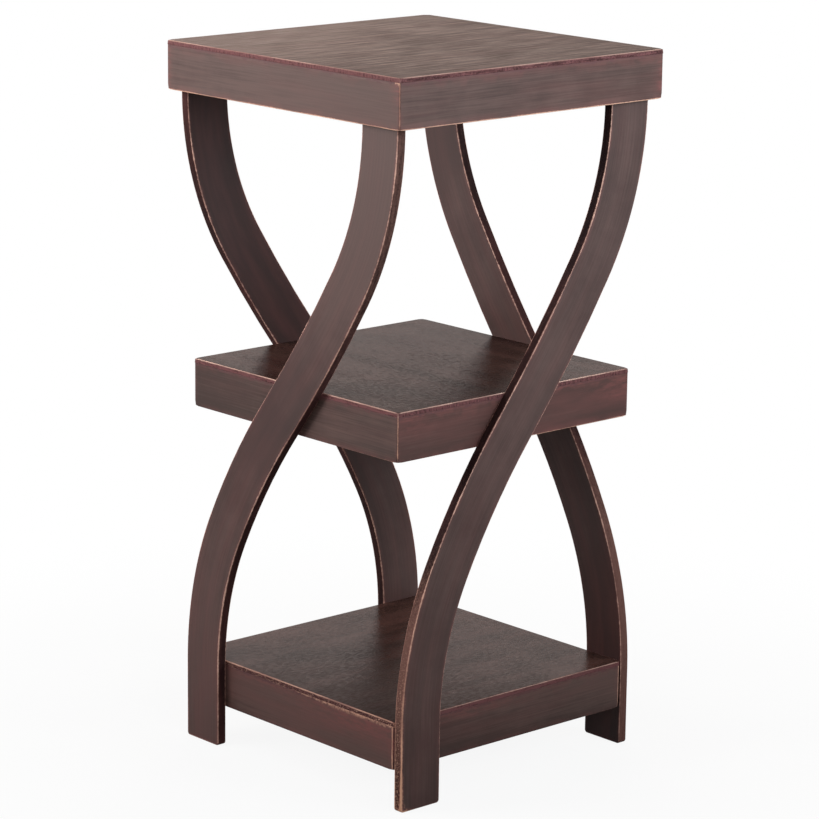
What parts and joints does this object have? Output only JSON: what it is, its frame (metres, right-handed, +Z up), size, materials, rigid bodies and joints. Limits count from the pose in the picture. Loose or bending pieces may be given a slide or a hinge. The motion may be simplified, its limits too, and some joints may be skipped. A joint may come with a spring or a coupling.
{
  "type": "tiered side table",
  "caption": "Tall narrow side table with square tiers one above the other, carried by flat S-shaped legs that wind round the corners; dark brown stained wood with worn edges.",
  "frame": {"origin": "on the floor, under the middle of the table", "axes": "+Z up, +X and +Y square to the sides of the tiers, -Y the front"},
  "size_m": [0.3, 0.3, 0.622],
  "materials": {
    "panel_wood": "dark espresso stain, satin, rubbed edges",
    "apron_wood": "dark espresso stain, satin, rubbed edges",
    "leg_wood": "dark espresso stain, satin, rubbed edges",
    "block_wood": "dark stain, matt",
    "screw_steel": "zinc plated"
  },
  "bodies": {
    "root": {"top_panel": "panel_wood", "top_apron_front": "apron_wood", "top_apron_right": "apron_wood", "top_apron_back": "apron_wood", "top_apron_left": "apron_wood", "top_block_front_right": "block_wood", "top_block_back_right": "block_wood", "top_block_back_left": "block_wood", "top_block_front_left": "block_wood", "top_leg_screws": "screw_steel", "middle_panel": "panel_wood", "middle_apron_front": "apron_wood", "middle_apron_right": "apron_wood", "middle_apron_back": "apron_wood", "middle_apron_left": "apron_wood", "middle_block_front_right": "block_wood", "middle_block_back_right": "block_wood", "middle_block_back_left": "block_wood", "middle_block_front_left": "block_wood", "middle_leg_screws": "screw_steel", "bottom_panel": "panel_wood", "bottom_apron_front": "apron_wood", "bottom_apron_right": "apron_wood", "bottom_apron_back": "apron_wood", "bottom_apron_left": "apron_wood", "bottom_block_front_right": "block_wood", "bottom_block_back_right": "block_wood", "bottom_block_back_left": "block_wood", "bottom_block_front_left": "block_wood", "bottom_leg_screws": "screw_steel", "leg_front": "leg_wood", "leg_right": "leg_wood", "leg_back": "leg_wood", "leg_left": "leg_wood"}
  },
  "joints": []
}
